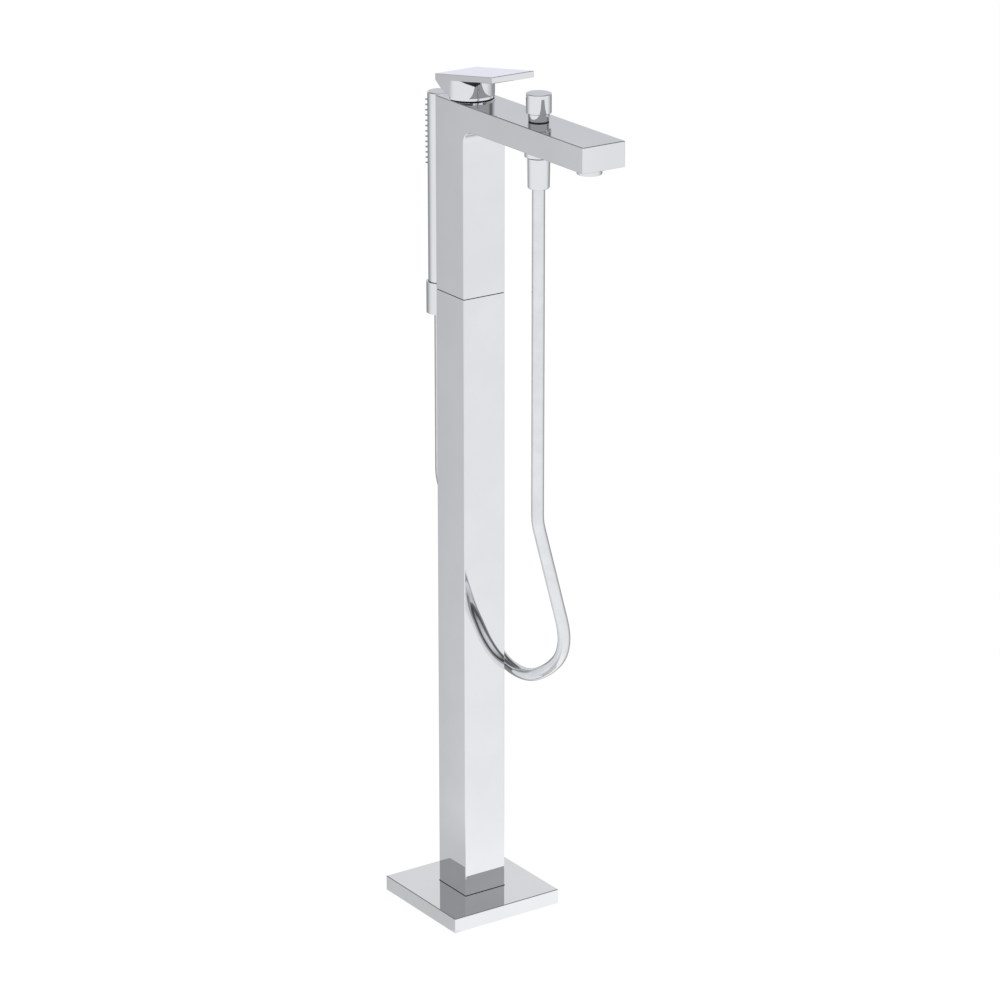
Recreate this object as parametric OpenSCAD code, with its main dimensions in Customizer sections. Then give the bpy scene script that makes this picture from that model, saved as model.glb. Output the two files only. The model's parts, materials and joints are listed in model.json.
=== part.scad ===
// Floor standing bath filler: square column, single lever mixer, pull-up diverter,
// stick hand shower in a cup holder and a free hose between the two.
// Millimetres, +Z up. The origin lies on the floor under the middle of the column,
// the spout points to -Y and the hand shower stands behind the column on +Y.

/* [Floor base] */
// Width of the square cover on the floor
cover_w = 137.5; // [130:0.5:160]
// Height of the floor cover
cover_h = 16.5; // [15:0.5:24]
// Wall of the floor cover
cover_wall = 2; // [1.5:0.1:2.6]
// Space from the cover's inside wall to the floor flange
flange_inset = 7.75; // [3:0.25:10]
// Thickness of the floor flange
flange_t = 8; // [6:0.5:10]
// Distance of the floor bolts from the flange's edges
bolt_edge = 14; // [10:0.5:19]
// Radius of the floor bolt holes
bolt_hole_r = 4.5; // [3.5:0.1:5.5]
// Height of the square spigot above the flange plate
spigot_h = 50; // [44:1:90]
// Wall of the spigot
spigot_wall = 4; // [3:0.1:4.4]
// Height of the foot screws above the floor
foot_screw_z = 34; // [28:1:44]

/* [Column] */
// Width of the square column and of the mixer above it
column_w = 52; // [51:0.5:60]
// Wall of the column tube
column_wall = 2; // [1.5:0.1:2.3]
// Height of the seam between column and mixer body
seam_z = 701; // [680:1:720]
// Height of the open seam, which the gasket fills
seam_gap = 1; // [0.6:0.1:2]
// How far the seam gasket stands back from the faces
seam_recess = 0.8; // [0.4:0.1:1.5]
// Radius along the polished outer edges
edge_r = 0.9; // [0.5:0.1:1.3]
// Length of the coupling sleeve inside the column
sleeve_down = 48; // [44:1:80]
// Length of the coupling sleeve inside the mixer body
sleeve_up = 34; // [28:1:60]
// Wall of the coupling sleeve
sleeve_wall = 4; // [3:0.1:4.2]

/* [Mixer body] */
// Height of the mixer body's top face above the floor
body_top = 910.5; // [890:0.5:960]
// Reach of the spout from the column's middle
spout_reach = 238; // [228:1:260]
// Height of the spout's end face
spout_t = 27; // [26:0.5:34]
// Radius in the corner between spout and column
spout_fillet_r = 14.5; // [10:0.5:18]
// Wall of the hollow casting
body_wall = 3.5; // [3:0.1:4]
// Thickness of the floor that carries the cartridge
manifold_t = 15; // [12:0.5:24]
// Thickness of the webs beside the diverter
web_t = 2.5; // [1.8:0.1:3]

/* [Cartridge] */
// Depth of the cartridge seat below the body's top face
cartridge_depth = 33.5; // [33:0.1:34.5]
// Radius of the cartridge
cartridge_r = 17.5; // [17:0.1:18]
// Radius of the cartridge's neck
neck_r = 14.4; // [14:0.1:14.6]
// Height of the neck above the cartridge's shoulder
neck_h = 11; // [10:0.1:11.5]
// Wall of the cartridge housing
cartridge_wall = 3; // [2.4:0.1:3.2]
// Thickness of the ceramic discs
disc_t = 4; // [3.5:0.1:4.2]
// Radius of the retaining nut's thread
nut_thread_r = 20; // [19.4:0.1:20.6]
// Radius of the collar that carries the dome
nut_collar_r = 17; // [16.6:0.1:17.4]
// Radius of the dome inside the lever's hood
dome_r = 19.4; // [19.2:0.1:19.6]
// Height of the dome above the body's top face
dome_h = 10; // [9.4:0.1:10.2]
// Radius of the dome's foot ring
dome_foot_r = 21.6; // [20.8:0.1:21.9]
// Radius of the dome's upper edge
dome_edge_r = 3; // [2:0.1:3.4]

/* [Lever] */
// Reach of the lever behind the column's middle
lever_back = 26.4; // [25.5:0.1:28]
// Reach of the lever in front of the column's middle
lever_front = 78.6; // [60:0.1:90]
// Height of the lever's rear edge above the body
lever_back_h = 23; // [22.6:0.1:26]
// Height of the lever's front edge above the body
lever_front_h = 39.6; // [36:0.1:44]
// Upright thickness of the lever plate
lever_t = 6.8; // [6.2:0.1:7]
// Height of the round hood's flat top above the body
hood_h = 16.5; // [15.8:0.1:17]
// Clearance of the hood above the body
hood_gap = 0.9; // [0.8:0.1:1.3]
// Height of the bevelled band at the hood's foot
band_h = 2.7; // [2.4:0.1:3.2]

/* [Diverter and hose outlet] */
// Distance of the diverter from the column's middle
diverter_reach = 124.5; // [110:0.5:140]
// Radius of the diverter knob
knob_r = 13.15; // [12.5:0.05:15]
// Height of the diverter knob
knob_h = 20.5; // [18:0.1:26]
// Radius of the collar under the knob
collar_r = 11; // [10.8:0.1:11.4]
// Height of the collar that shows under the knob
collar_h = 8.4; // [7:0.1:11]
// Radius of the diverter's threaded neck
bonnet_r = 9.9; // [9.5:0.1:10.2]
// Radius of the diverter's stem
stem_r = 3; // [2.6:0.1:3.2]
// Travel of the diverter knob
diverter_travel = 6; // [5:0.1:6]
// Radius of the outlet ring under the spout
outlet_r = 15; // [13.5:0.1:17]
// Height of the outlet ring under the spout
outlet_h = 9.3; // [7:0.1:12]

/* [Aerator] */
// Distance of the aerator's axis from the spout's end
aerator_inset = 25; // [22:0.5:30]
// Radius of the aerator's ring
aerator_r = 13.1; // [12.6:0.1:15]
// How far the aerator stands out of the spout
aerator_h = 8.4; // [6:0.1:12]

/* [Holder] */
// Distance of the hand shower's axis behind the column's middle
holder_reach = 57; // [54:0.5:66]
// Height of the holder's rim above the floor
holder_top = 698.2; // [690:0.1:700]
// Height of the holder's cup
cup_h = 34.5; // [33.5:0.1:40]
// Outer radius of the holder's cup
cup_r = 15.2; // [14.9:0.1:17]
// Width of the slot that lets the hose in
slot_w = 16; // [15:0.1:17]
// Width of the holder's arm
arm_w = 20; // [18:0.5:24]

/* [Hand shower] */
// Radius of the hand shower
stick_r = 13; // [12.6:0.1:13.4]
// Length of the hand shower
stick_l = 206.5; // [196:0.5:240]
// Wall of the hand shower's shell
stick_wall = 2; // [1.6:0.1:2.1]
// Rows of nozzles
nozzle_rows = 13; // [9:1:13]
// Columns of nozzles
nozzle_cols = 5; // [3:2:5]
// Distance between two rows of nozzles
nozzle_pitch = 5.7; // [5.4:0.1:5.8]
// Angle between two columns of nozzles
nozzle_angle = 20; // [16:1:22]
// How far the nozzles stand out of the face
nozzle_h = 2.7; // [1:0.1:3]

/* [Hose] */
// Outer diameter of the hose
hose_d = 13.6; // [12:0.1:13.8]
// Height of the conical hose nuts
hose_nut_h = 32; // [31:0.1:33]
// Radius of a hose nut at its wide end
hose_nut_r = 12; // [11.8:0.1:12.1]
// Radius of a hose nut at its narrow end
hose_nut_end_r = 11.5; // [11.2:0.1:11.6]

/* [Clearances] */
// Sliding space between parts that are pushed together
slip_gap = 0.3; // [0.2:0.05:0.4]
// Space between moving parts that do not touch
run_gap = 0.3; // [0.2:0.05:0.4]
// Radial clearance of threads and fitted pieces
thread_gap = 0.05; // [0.03:0.01:0.08]
// Space around the dome inside the lever's hood
dome_gap = 3.6; // [3.4:0.1:3.8]

/* [Hidden] */
$fn = 64;

// Overrun of the cuts
cut = 1;

// Base and column
half = column_w / 2;
cover_in_w = cover_w - 2 * cover_wall;
flange_w = cover_in_w - 2 * flange_inset;
bolt_spacing = flange_w - 2 * bolt_edge;
column_in_w = column_w - 2 * column_wall;
spigot_w = column_in_w - 2 * slip_gap;
spigot_in_w = spigot_w - 2 * spigot_wall;
seal_w = 8;
seal_t = 2.5;
foot_screw_x = 12;
foot_screw_r = 3;
socket_share = 0.5;
column_top = seam_z - seam_gap / 2;
body_bottom = seam_z + seam_gap / 2;
body_in_w = column_w - 2 * body_wall;
sleeve_w = column_in_w - 2 * slip_gap;
sleeve_top_w = body_in_w - 2 * slip_gap;
sleeve_in_w = sleeve_top_w - 2 * sleeve_wall;
coupling_screw_z = 14;
coupling_screw_x = 12;
coupling_screw_r = 2.5;

// Mixer body
spout_under = body_top - spout_t;
water_floor = spout_under + body_wall;
water_roof = body_top - body_wall;
water_w = column_w - 2 * body_wall;
water_front = spout_reach - body_wall;
chamber_half = 14;
chamber_h = 11.5;
web_z = water_floor + chamber_h;
side_port_w = 14;
side_port_h = 9;
cartridge_floor = body_top - cartridge_depth;
manifold_under = cartridge_floor - manifold_t;

// Cartridge, stacked from its floor
base_disc_h = 7;
driver_h = 5.6;
guide_flange_h = 2.5;
shoulder_t = 2;
fixed_z = cartridge_floor + base_disc_h;
moving_z = fixed_z + disc_t + run_gap;
driver_z = moving_z + disc_t;
guide_z = driver_z + driver_h + run_gap;
shoulder_under = guide_z + guide_flange_h + run_gap;
shoulder_z = shoulder_under + shoulder_t;
pivot_rise = 2.4;
pivot_z = shoulder_z + pivot_rise;
neck_top = shoulder_z + neck_h;
cavity_r = cartridge_r - cartridge_wall;
hub_r = 10.95;
hub_proud = 0.4;
guide_flange_r = cavity_r - 0.05 * cavity_r;
fixed_disc_r = cavity_r - 2 * run_gap;
disc_travel_space = 3.4;
moving_disc_r = cavity_r - disc_travel_space - 2 * run_gap;
driver_share = 0.9;
port_r = 3.6;
disc_port_r = 2.4;
disc_in_x = 4.3;
disc_in_y = 6.1;
disc_out_y = 5;
disc_recess_r = 5.3;
disc_recess_y = 1.6;
link_r = 1.4;
seal_r = 0.7;
seal_ring_r = 4.6;
pin_r = 1.5;
pin_l = 19;
bore_r = cartridge_r + thread_gap * 2;
nut_low = 0.5;
nut_rise = 7.5;
washer_t = 0.6;
washer_inset = 0.4;
dome_hole_r = 15.5;
dome_foot_h = 1;
dome_flare_r = 1.2;

// Lever
stem_w = 7;
stem_ball_r = 2.8;
stem_drop = 9;
stem_neck_r = 2.4;
stem_top_h = 26;
stem_gap = 0.3;
boss_r = 7.2;
boss_low_h = 10.5;
boss_bury = 1.5;
lever_screw_r = 2;
lever_screw_l = 3.5;
lever_screw_h = 18.8;
undercut_y = 16.5;
undercut_h = 9.6;
lever_edge_r = 0.7;
hood_roof_t = 4;
pocket_rise = 5.4;
band_inset = 1.1;
band_foot_inset = 0.3;
lever_fall = (lever_front_h - lever_back_h) / (lever_back + lever_front);
lever_angle = atan(lever_fall);
slot_half_y = 8.8;

// Diverter and outlet
seat_rise = 2.1;
seat_z = water_floor + seat_rise;
valve_z = seat_z + run_gap;
valve_t = web_z - valve_z - diverter_travel - run_gap;
valve_r = 8.5;
rim_hole_r = 6.8;
cage_r = 7.6;
collar_washer_t = 1.1;
collar_washer_inset = 0.5;
cage_roof = body_top + collar_washer_t;
window_w = 9;
window_h = 4.6;
collar_hide = 2;
knob_z = body_top + collar_h + run_gap;
knob_edge_r = 0.8;
knob_foot_r = 0.8;
stem_bury = 6;
outlet_bore_r = 6;
thread_r = 10.2;
nut_gap = 1.7;
spring_r = 4.6;
spring_wire_r = 0.45;
spring_turns = 6;
spring_sides = 6;
spring_steps = 12;

// Aerator
aerator_reach = spout_reach - aerator_inset;
aerator_thread_r = 11.9;
aerator_thread_h = 5.5;
aerator_lip = 2.2;
aerator_mouth_share = 0.78;
mesh_r = 0.85;
mesh_pitch = 2.6;
mesh_rings = 3;
aerator_washer_t = 1.5;

// Hose nuts and their inner pieces, measured down from the nut's wide end
front_nut_top = spout_under - outlet_h - nut_gap;
nut_ledge = 5;
nut_thread_depth = 13;
nut_edge_r = 1.8;
ferrule_r = 9.2;
ferrule_wall = 3;
ferrule_lift = 0.5;
ferrule_l = 13.2;
hose_washer_t = 2;
nipple_depth = nut_thread_depth - hose_washer_t;
hose_r = hose_d / 2;

// Holder
liner_wall = 1.25;
cup_bore_r = hose_nut_r + run_gap + liner_wall + thread_gap;
cup_ledge = 1;
cup_ledge_w = 1;
arm_inset = 2;
arm_edge_r = 3;
holder_screw_r = 2.4;
holder_head_r = 4.25;
holder_head_h = 4;
holder_head_recess = 0.5;
holder_screw_l = 23;
holder_screw_spacing = 17;
cup_mid = holder_top - cup_h / 2;

// Hand shower
stick_z = holder_top + run_gap;
rear_nut_top = stick_z;
stick_top = stick_z + stick_l;
stick_in_r = stick_r - stick_wall;
stick_floor_t = 3;
cap_h = 3.5;
cap_spigot_h = 2.8;
cap_edge_r = 1.2;
nipple_collar_h = 3;
nipple_bore_r = 5.5;
waterway_r = 6.5;
waterway_wall = 1.5;
chamber_r = stick_in_r - 1.4 * cap_edge_r;
chamber_wall = 1.8;
nozzle_top = 10;
nozzle_base_r = 1.15;
nozzle_tip_r = 0.85;
nozzle_gap = 0.1;
nozzle_bury = 1;
mat_t = 1;
plate_margin = 3.5;
plate_angle_margin = 11;
nozzle_span = (nozzle_rows - 1) * nozzle_pitch;
plate_top = stick_top - nozzle_top + plate_margin;
plate_low = stick_top - nozzle_top - nozzle_span - plate_margin;
plate_half_angle = (nozzle_cols - 1) / 2 * nozzle_angle + plate_angle_margin;
plate_gap_angle = 0.5;

// Supply hoses inside the column
supply_x = (spigot_in_w - slip_gap) / 4;
supply_nut_r = supply_x - slip_gap / 2;
supply_nut_wall = 2.125;
supply_nut_z = 6;
supply_nut_l = 18;
supply_thread_r = supply_nut_r - supply_nut_wall;
supply_thread_l = 10;
supply_tail_r = supply_thread_r - slip_gap;
supply_tail_h = 2;
supply_step = 1.2;
supply_wall = 2;
supply_r = supply_tail_r - supply_step;
supply_bore_r = supply_r - supply_wall;
nipple_r = 5;
nipple_l = 9;
nipple_head_r = 6.8;
nipple_head_h = 10;
nipple_hole_r = 3.2;

// Route of the hose's middle line, from the front nut round to the holder
hose_points = [
    [0, -124.5, 846], [0, -124.5, 820], [0, -124.5, 780], [0, -124.5, 740],
    [0, -124.5, 700], [0, -124.5, 660], [0, -124.5, 620], [0, -124.5, 580],
    [0, -124.5, 540], [0, -124.5, 500], [0.5, -124.5, 479], [4.5, -124.5, 462],
    [15, -124.5, 423], [25.5, -124.5, 384], [34, -124, 352], [38, -120, 333],
    [40, -111.5, 315], [40.5, -98.5, 300.5], [39, -80, 286], [38, -58, 275.5],
    [38, -33.5, 272],
    [38, -9, 275.5], [39, 13, 286], [40.5, 31.5, 300.5], [40, 44, 315],
    [38, 52.5, 333], [34, 56.5, 352], [25.5, 57, 384], [15, 57, 423],
    [4.5, 57, 462], [0.5, 57, 479], [0, 57, 500], [0, 57, 540],
    [0, 57, 580], [0, 57, 620], [0, 57, 650], [0, 57, 672]
];
hose_sides = 12;

// Colours
chrome = [0.8, 0.81, 0.83];
steel = [0.6, 0.61, 0.63];
brass = [0.78, 0.66, 0.36];
rubber = [0.13, 0.13, 0.14];
ceramic = [0.93, 0.92, 0.89];
plastic = [0.32, 0.34, 0.37];
silicone = [0.7, 0.72, 0.74];
braid = [0.55, 0.57, 0.6];

// Shared outlines and tools

module rounded_square(w, d, r) {
    square([w - 2 * r, d], center = true);
    square([w, d - 2 * r], center = true);
    for (x = [-1, 1], y = [-1, 1])
        translate([x * (w / 2 - r), y * (d / 2 - r)]) circle(r);
}

// Stands on the X axis and has two rounded top corners
module arched_square(w, h, r) {
    translate([-w / 2, 0]) square([w, h - r]);
    translate([r - w / 2, 0]) square([w - 2 * r, h]);
    for (x = [-1, 1]) translate([x * (w / 2 - r), h - r]) circle(r);
}

// What is cut off a sharp corner at the origin whose material lies towards -X and -Y
module corner_cut(r) {
    difference() {
        translate([-r, -r]) square(r + cut);
        translate([-r, -r]) circle(r);
    }
}

// Turns an outline in Y and Z into a solid centred on X
module along_x(w) {
    translate([-w / 2, 0, 0]) rotate([90, 0, 90]) linear_extrude(w) children();
}

// Turns an outline in X and Z into a solid that runs from y_low to y_high
module along_y(y_low, y_high) {
    translate([0, y_high, 0]) rotate([90, 0, 0]) linear_extrude(y_high - y_low) children();
}

module ring(r_out, r_in, h) {
    difference() {
        cylinder(h = h, r = r_out);
        translate([0, 0, -cut]) cylinder(h = h + 2 * cut, r = r_in);
    }
}

// Square frame with a square hole
module frame(w_out, w_in, h) {
    linear_extrude(h) difference() {
        square(w_out, center = true);
        square(w_in, center = true);
    }
}

// Round bar along Y from y_low to y_high
module bar_y(r, y_low, y_high) {
    translate([0, y_high, 0]) rotate([90, 0, 0]) cylinder(h = y_high - y_low, r = r);
}

// Hex socket grub screw along Y, with its socket at y_high
module grub_screw(r, y_low, y_high) {
    difference() {
        bar_y(r, y_low, y_high);
        translate([0, y_high + cut, 0]) rotate([90, 0, 0])
            cylinder(h = cut + (y_high - y_low) / 2, r = r * socket_share, $fn = 6);
    }
}

module at_both(x) {
    for (side = [-1, 1]) translate([side * x, 0, 0]) children();
}

// Floor base

module floor_flange() {
    bolt = bolt_spacing / 2;
    color(steel)
    difference() {
        union() {
            linear_extrude(flange_t) rounded_square(flange_w, flange_w, bolt_hole_r);
            linear_extrude(flange_t + spigot_h) square(spigot_w, center = true);
        }
        translate([0, 0, -cut])
            linear_extrude(flange_t + spigot_h + 2 * cut) square(spigot_in_w, center = true);
        for (x = [-bolt, bolt], y = [-bolt, bolt])
            translate([x, y, -cut]) cylinder(h = flange_t + 2 * cut, r = bolt_hole_r);
        at_both(foot_screw_x) translate([0, 0, foot_screw_z])
            bar_y(foot_screw_r + thread_gap, spigot_in_w / 2 - cut, half);
    }
}

module base_cover() {
    hole_w = column_w + 2 * slip_gap;
    color(chrome)
    difference() {
        intersection() {
            linear_extrude(cover_h) rounded_square(cover_w, cover_w, edge_r);
            along_x(cover_w) arched_square(cover_w, cover_h, edge_r);
            along_y(-cover_w / 2, cover_w / 2) arched_square(cover_w, cover_h, edge_r);
        }
        translate([0, 0, -cut])
            linear_extrude(cover_h - cover_wall + cut) square(cover_in_w, center = true);
        translate([0, 0, -cut]) linear_extrude(cover_h + 2 * cut)
            rounded_square(hole_w, hole_w, edge_r + slip_gap);
    }
}

module cover_seal() {
    color(rubber)
    translate([0, 0, cover_h - cover_wall - seal_t])
        frame(column_w + 2 * seal_w, column_w + thread_gap, seal_t);
}

module column_tube() {
    color(chrome)
    difference() {
        translate([0, 0, flange_t]) linear_extrude(column_top - flange_t) difference() {
            rounded_square(column_w, column_w, edge_r);
            square(column_in_w, center = true);
        }
        at_both(foot_screw_x) translate([0, 0, foot_screw_z])
            bar_y(foot_screw_r + slip_gap, half - column_wall - cut, half + cut);
        for (z = [-1, 1])
            translate([0, 0, cup_mid + z * holder_screw_spacing / 2])
                bar_y(holder_screw_r + slip_gap, half - column_wall - cut, half + cut);
    }
}

module foot_screws() {
    color(steel)
    at_both(foot_screw_x) translate([0, 0, foot_screw_z])
        grub_screw(foot_screw_r, spigot_in_w / 2, half - column_wall / 4);
}

// Joint between column and mixer body

module seam_gasket() {
    color(rubber)
    translate([0, 0, column_top])
        frame(column_w - 2 * seam_recess, sleeve_top_w + thread_gap, seam_gap);
}

module coupling_sleeve() {
    color(steel)
    difference() {
        union() {
            translate([0, 0, column_top - sleeve_down])
                linear_extrude(sleeve_down) square(sleeve_w, center = true);
            translate([0, 0, column_top - cut])
                linear_extrude(sleeve_up + cut) square(sleeve_top_w, center = true);
        }
        translate([0, 0, column_top - sleeve_down - cut])
            linear_extrude(sleeve_down + sleeve_up + 2 * cut) square(sleeve_in_w, center = true);
        at_both(coupling_screw_x) translate([0, 0, body_bottom + coupling_screw_z])
            bar_y(coupling_screw_r + thread_gap, sleeve_in_w / 2 - cut, half);
        for (z = [-1, 1])
            translate([0, 0, cup_mid + z * holder_screw_spacing / 2])
                bar_y(holder_screw_r + thread_gap, sleeve_in_w / 2 - cut, half);
    }
}

module coupling_screws() {
    color(steel)
    at_both(coupling_screw_x) translate([0, 0, body_bottom + coupling_screw_z])
        grub_screw(coupling_screw_r, sleeve_in_w / 2, half - column_wall / 4);
}

// Mixer body

// Outline of column block and spout in Y and Z, with the fillet between them
module body_side() {
    r = spout_fillet_r;
    difference() {
        polygon([[half, body_bottom], [half, body_top], [-spout_reach, body_top],
                 [-spout_reach, spout_under], [-half, spout_under], [-half, body_bottom]]);
        translate([half, body_top]) corner_cut(edge_r);
        translate([-spout_reach, body_top]) mirror([1, 0]) corner_cut(edge_r);
        translate([-spout_reach, spout_under]) rotate(180) corner_cut(edge_r);
    }
    difference() {
        translate([-half - r, spout_under - r]) square(r);
        translate([-half - r, spout_under - r]) circle(r);
    }
}

// Rounds the edges that the spout's underside and the column's front share with the sides
module body_edge_cuts() {
    r = spout_fillet_r;
    for (side = [0, 1]) mirror([side, 0, 0]) {
        translate([half, 0, spout_under]) along_y(-spout_reach - cut, -half - r)
            mirror([0, 1]) corner_cut(edge_r);
        translate([half, -half, body_bottom - cut])
            linear_extrude(spout_under - r - body_bottom + cut) mirror([0, 1]) corner_cut(edge_r);
        translate([0, -half - r, spout_under - r]) rotate([90, 0, 90])
            rotate_extrude(angle = 90) translate([r, half]) mirror([1, 0]) corner_cut(edge_r);
    }
}

module body_casting() {
    difference() {
        intersection() {
            along_x(column_w) body_side();
            translate([0, (half - spout_reach) / 2, body_bottom - cut])
                linear_extrude(body_top - body_bottom + 2 * cut)
                    rounded_square(column_w, half + spout_reach, edge_r);
            translate([0, 0, body_bottom])
                along_y(-spout_reach - cut, half + cut)
                    arched_square(column_w, body_top - body_bottom, edge_r);
        }
        body_edge_cuts();
    }
}

// Box of the waterway between two distances in front of the column's middle
module water_box(near, far, z_low, z_high) {
    translate([-water_w / 2, -far, z_low]) cube([water_w, far - near, z_high - z_low]);
}

// The waterway, parted by an S-shaped web so that the diverter can close either side
module waterway() {
    start = bore_r + 2 * body_wall;
    water_box(start, diverter_reach + chamber_half, water_floor, web_z);
    water_box(start, diverter_reach - chamber_half - web_t, water_floor, water_roof);
    water_box(diverter_reach - chamber_half, water_front, web_z + web_t, water_roof);
    water_box(diverter_reach + chamber_half + web_t, water_front, water_floor, water_roof);
    translate([-side_port_w / 2, -start - cut, water_floor])
        cube([side_port_w, start + cut - bore_r / 2, side_port_h]);
}

module mixer_body() {
    color(chrome)
    difference() {
        body_casting();
        translate([0, 0, body_bottom - cut])
            linear_extrude(manifold_under - body_bottom + cut) square(body_in_w, center = true);
        waterway();
        translate([0, 0, cartridge_floor]) cylinder(h = cartridge_depth + cut, r = bore_r);
        translate([0, 0, shoulder_z - nut_low])
            cylinder(h = body_top - shoulder_z + nut_low + cut, r = nut_thread_r + thread_gap);
        at_both(supply_x) translate([0, 0, manifold_under - cut]) {
            cylinder(h = nipple_l + cut, r = nipple_r + thread_gap);
            cylinder(h = manifold_t + 2 * cut, r = port_r);
        }
        translate([0, -diverter_reach, web_z - cut])
            cylinder(h = body_top - web_z + 2 * cut, r = bonnet_r + thread_gap);
        translate([0, -diverter_reach, spout_under - cut])
            cylinder(h = body_wall + 2 * cut, r = bonnet_r + thread_gap);
        translate([0, -aerator_reach, spout_under - cut])
            cylinder(h = body_wall + 2 * cut, r = aerator_thread_r + thread_gap);
        at_both(coupling_screw_x) translate([0, 0, body_bottom + coupling_screw_z])
            bar_y(coupling_screw_r + slip_gap, half - body_wall - cut, half + cut);
    }
}

// Supply hoses

module supply_hose() {
    top = manifold_under - nipple_head_h;
    tail = supply_nut_z + supply_thread_l + slip_gap;
    difference() {
        union() {
            translate([0, 0, tail]) cylinder(h = top - tail, r = supply_r);
            translate([0, 0, tail]) cylinder(h = supply_tail_h, r = supply_tail_r);
        }
        translate([0, 0, tail - cut]) cylinder(h = top - tail + 2 * cut, r = supply_bore_r);
    }
}

module hot_supply_hose() {
    color(braid) translate([-supply_x, 0, 0]) supply_hose();
}

module cold_supply_hose() {
    color(braid) translate([supply_x, 0, 0]) supply_hose();
}

module supply_nuts() {
    depth = supply_thread_l + slip_gap + supply_tail_h;
    color(brass)
    at_both(supply_x) translate([0, 0, supply_nut_z]) difference() {
        cylinder(h = supply_nut_l, r = supply_nut_r);
        translate([0, 0, -cut]) cylinder(h = supply_thread_l + cut, r = supply_thread_r);
        cylinder(h = depth, r = supply_tail_r + thread_gap);
        cylinder(h = supply_nut_l + cut, r = supply_r + thread_gap);
    }
}

module supply_nipples() {
    color(brass)
    at_both(supply_x) translate([0, 0, manifold_under - nipple_head_h]) difference() {
        union() {
            cylinder(h = nipple_head_h, r = nipple_head_r);
            cylinder(h = nipple_head_h + nipple_l - thread_gap, r = nipple_r);
        }
        translate([0, 0, -cut]) cylinder(h = nipple_head_h + nipple_l + cut, r = nipple_hole_r);
    }
}

// Cartridge

module cartridge_housing() {
    color(plastic)
    translate([0, 0, fixed_z]) difference() {
        union() {
            cylinder(h = shoulder_z - fixed_z, r = cartridge_r);
            cylinder(h = neck_top - fixed_z, r = neck_r);
        }
        translate([0, 0, -cut]) cylinder(h = shoulder_under - fixed_z + cut, r = cavity_r);
        cylinder(h = neck_top - fixed_z + cut, r = hub_r + 2 * thread_gap);
        translate([-side_port_w / 2, -cartridge_r - cut, -cut])
            cube([side_port_w, cartridge_r, side_port_h + cut]);
    }
}

// Two inlet ports in front and one outlet port behind, as seen from above
module disc_ports(h) {
    for (side = [-1, 1]) translate([side * disc_in_x, -disc_in_y, 0]) cylinder(h = h, r = disc_port_r);
    translate([0, disc_out_y, 0]) cylinder(h = h, r = disc_port_r);
}

module cartridge_base() {
    ring_r = seal_ring_r + seal_r + thread_gap;
    mid = base_disc_h / 2;
    link_l = norm([supply_x - disc_in_x, disc_in_y]);
    link_a = atan2(disc_in_y, supply_x - disc_in_x);
    color(plastic)
    translate([0, 0, cartridge_floor]) difference() {
        cylinder(h = base_disc_h, r = cartridge_r);
        at_both(supply_x) {
            translate([0, 0, -cut]) cylinder(h = mid + cut, r = port_r);
            translate([0, 0, -cut]) cylinder(h = 2 * seal_r + cut, r = ring_r);
        }
        translate([0, 0, mid]) disc_ports(base_disc_h);
        for (side = [0, 1]) mirror([side, 0, 0]) translate([supply_x, 0, mid])
            rotate(link_a) rotate([0, -90, 0]) cylinder(h = link_l, r = link_r);
        translate([0, 0, mid]) bar_y(link_r, -cartridge_r - cut, disc_out_y);
        translate([-side_port_w / 2, -cartridge_r - cut, mid])
            cube([side_port_w, cartridge_r / 2, base_disc_h]);
    }
}

module cartridge_seals() {
    color(rubber)
    at_both(supply_x) translate([0, 0, cartridge_floor + seal_r])
        rotate_extrude() translate([seal_ring_r, 0]) circle(seal_r);
}

module fixed_disc() {
    color(ceramic)
    translate([0, 0, fixed_z]) difference() {
        cylinder(h = disc_t, r = fixed_disc_r);
        translate([0, 0, -cut]) disc_ports(disc_t + 2 * cut);
    }
}

module moving_disc() {
    color(ceramic)
    translate([0, 0, moving_z]) difference() {
        cylinder(h = disc_t, r = moving_disc_r);
        translate([0, disc_recess_y, -cut]) cylinder(h = disc_t / 2 + cut, r = disc_recess_r);
    }
}

module disc_driver() {
    ball_z = pivot_z - stem_drop;
    socket_z = ball_z - stem_ball_r - run_gap;
    color(plastic)
    difference() {
        translate([0, 0, driver_z]) cylinder(h = driver_h, r = moving_disc_r * driver_share);
        translate([0, 0, socket_z])
            cylinder(h = driver_h + disc_t, r = stem_ball_r + 2 * stem_gap);
    }
}

module spindle_guide() {
    color(plastic)
    difference() {
        union() {
            translate([0, 0, guide_z]) cylinder(h = guide_flange_h, r = guide_flange_r);
            translate([0, 0, guide_z]) cylinder(h = neck_top + hub_proud - guide_z, r = hub_r);
        }
        translate([-stem_w / 2 - stem_gap, -slot_half_y, guide_z - cut])
            cube([stem_w + 2 * stem_gap, 2 * slot_half_y, neck_top - guide_z + 2 * cut]);
        translate([0, 0, pivot_z]) rotate([0, 90, 0])
            cylinder(h = 2 * hub_r + 2 * cut, r = pin_r + thread_gap, center = true);
    }
}

module pivot_pin() {
    color(steel)
    translate([0, 0, pivot_z]) rotate([0, 90, 0]) cylinder(h = pin_l, r = pin_r, center = true);
}

module cartridge_nut() {
    rise = body_top - shoulder_z;
    color(brass)
    translate([0, 0, shoulder_z]) difference() {
        union() {
            cylinder(h = rise - nut_low, r = nut_thread_r);
            cylinder(h = rise + nut_rise, r = nut_collar_r);
        }
        translate([0, 0, -cut]) cylinder(h = rise + nut_rise + 2 * cut, r = neck_r + 2 * thread_gap);
    }
}

module dome_washer() {
    color(rubber)
    translate([0, 0, body_top])
        ring(dome_foot_r - washer_inset, nut_thread_r + 2 * thread_gap, washer_t);
}

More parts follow.
